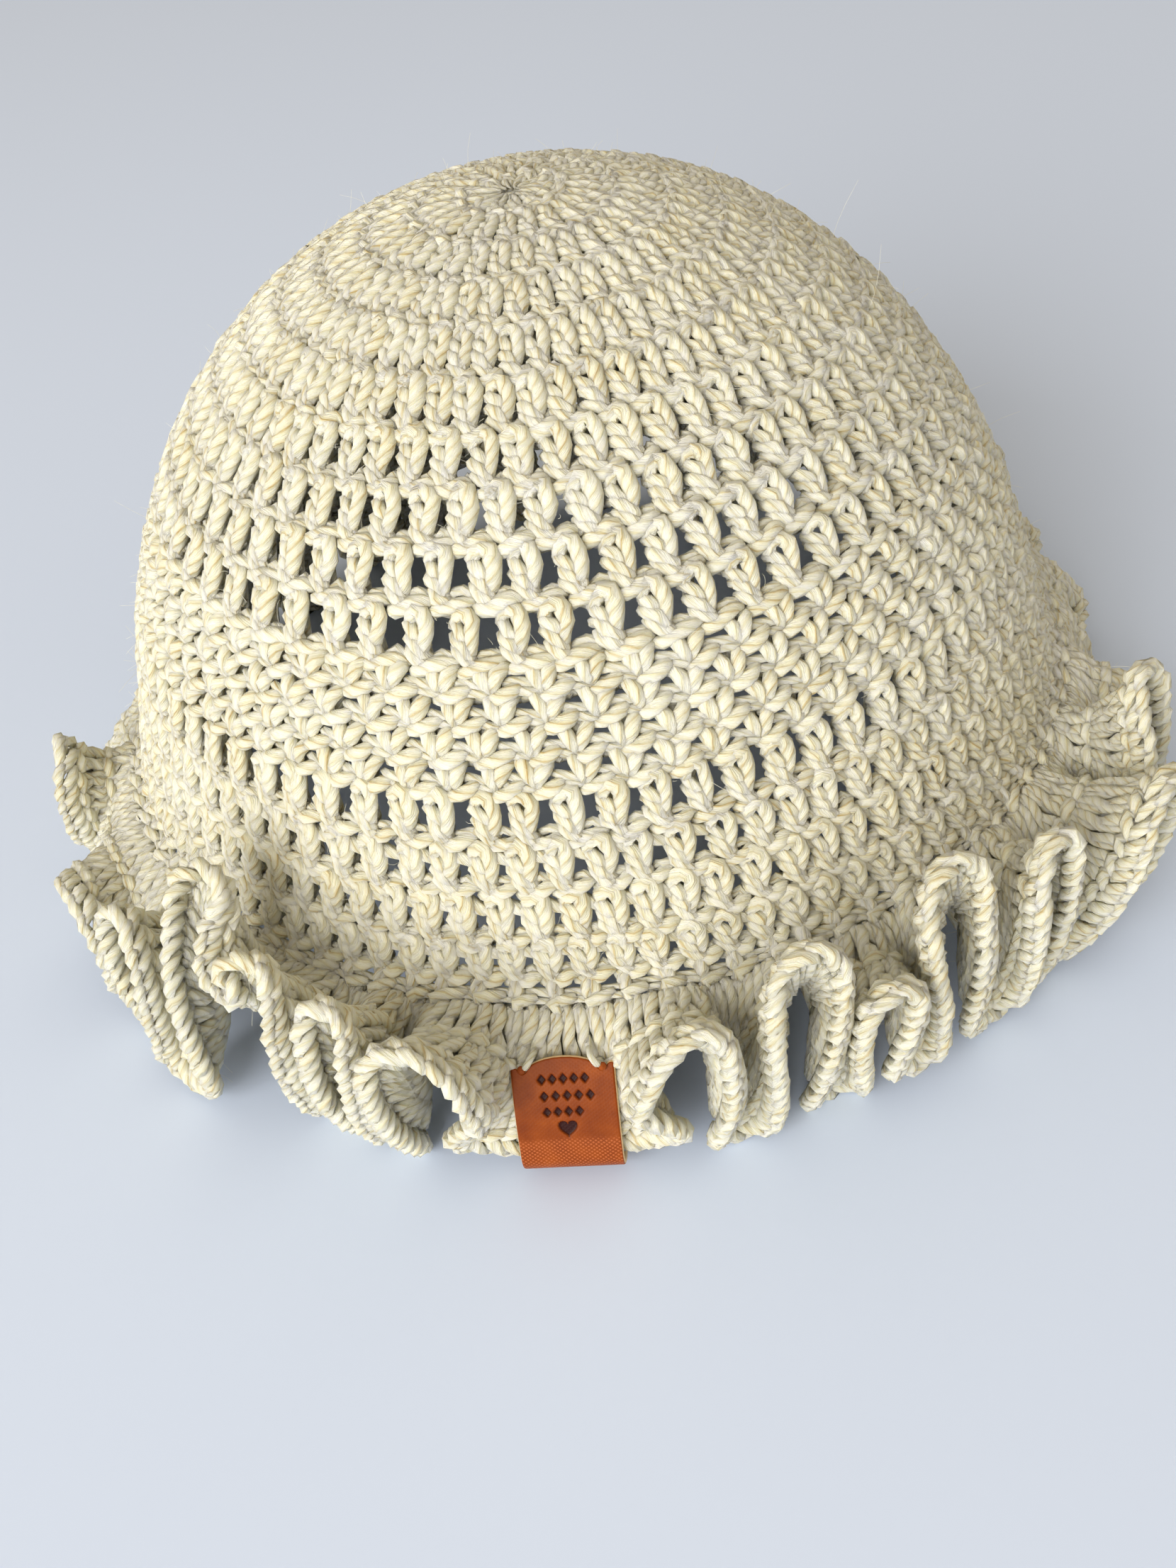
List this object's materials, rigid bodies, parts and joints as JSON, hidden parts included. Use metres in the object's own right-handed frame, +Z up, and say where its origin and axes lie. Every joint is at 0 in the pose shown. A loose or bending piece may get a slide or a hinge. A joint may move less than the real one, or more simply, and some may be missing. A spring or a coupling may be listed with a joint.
{
  "type": "crochet bucket hat",
  "caption": "Hollow crocheted dome hat with a deeply ruffled brim, a cord-like edging and a small folded leather tag on the ruffle's edge",
  "frame": {"origin": "on the surface that the hat rests on, under the middle of its bounding box", "axes": "+Z up through the top of the crown, -Y towards the front, where the tag hangs a little to the left of the middle, +X to the right as seen from the front"},
  "size_m": [0.2306, 0.2508, 0.1318],
  "materials": {
    "crown_yarn": "crocheted wool-blend yarn, cream, matt with a soft lustre along the plies",
    "brim_yarn": "crocheted wool-blend yarn, cream, worked densely in fans",
    "edging_yarn": "cream yarn slip-stitched into a cord along the edge",
    "tag_leather": "saddle-brown coated leather, satin, with a fine crossed grain"
  },
  "bodies": {
    "root": {"crown": "crown_yarn", "brim": "brim_yarn", "edging": "edging_yarn", "label": "tag_leather"}
  },
  "joints": []
}
